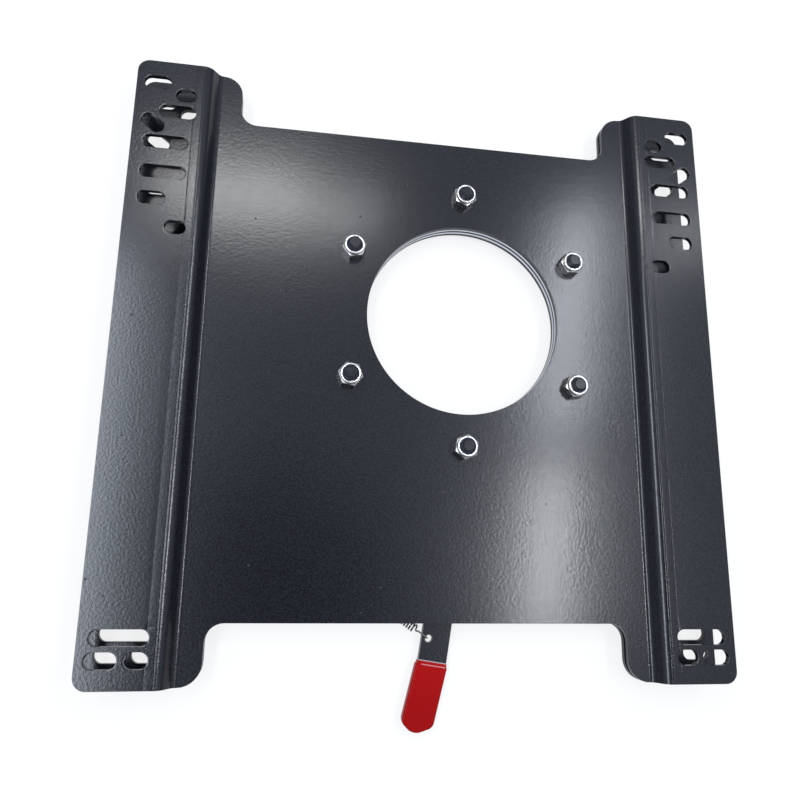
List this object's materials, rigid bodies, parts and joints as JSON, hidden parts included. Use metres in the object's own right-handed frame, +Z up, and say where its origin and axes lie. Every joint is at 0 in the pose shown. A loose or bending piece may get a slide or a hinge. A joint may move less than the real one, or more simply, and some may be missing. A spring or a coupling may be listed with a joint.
{
  "type": "swivel seat base",
  "caption": "Black steel swivel base for a camper seat: fixed lower plate, turning upper plate with stepped slotted flanges, round cable hole and sprung latch lever.",
  "frame": {"origin": "centre of the corner slot pattern, in the plane that the lower flanges rest on", "axes": "+Z up, -Y to the front where the lever comes out, +X to the right seen from above with the front near the viewer"},
  "size_m": [0.362, 0.3863, 0.0267],
  "materials": {
    "plate_paint": "satin black powder coat",
    "slide_plastic": "moulded, matt black",
    "zinc_ring": "bright zinc plate",
    "bolt_black": "black oxide",
    "zinc_nut": "bright zinc plate",
    "insert_nylon": "nylon, dark blue",
    "sleeve_red": "dipped plastic, red",
    "spring_wire": "zinc plated spring wire"
  },
  "bodies": {
    "base": {"lower_plate": "plate_paint", "slide_ring_upper": "slide_plastic", "slide_ring_lower": "slide_plastic", "lever_spring": "spring_wire", "pivot_rivet": "zinc_nut", "pivot_spacer": "slide_plastic", "pivot_washer": "zinc_ring", "lever_keeper": "plate_paint", "keeper_rivets": "zinc_nut", "spring_post": "zinc_nut"},
    "turntable": {"upper_plate": "plate_paint", "hub_spacer_ring": "zinc_ring", "hub_shim": "plate_paint", "hub_ring": "zinc_ring", "index_ring": "plate_paint", "clamp_bolts": "bolt_black", "lock_nuts": "zinc_nut", "nut_inserts": "insert_nylon"},
    "lever": {"lever_bar": "plate_paint", "lever_sleeve": "sleeve_red"}
  },
  "joints": [
    {"name": "swivel", "type": "hinge", "parent": "base", "child": "turntable", "pos_m": [0.023, 0.031, 0.01], "axis": [0, 0, 1], "range_deg": [0, 180]},
    {"name": "latch", "type": "hinge", "parent": "base", "child": "lever", "pos_m": [0.02012, -0.07896, 0.0052], "axis": [0, 0, 1], "range_deg": [-6, 9], "stiffness_Nm_per_rad": 2, "deforming": ["lever_spring"]}
  ]
}
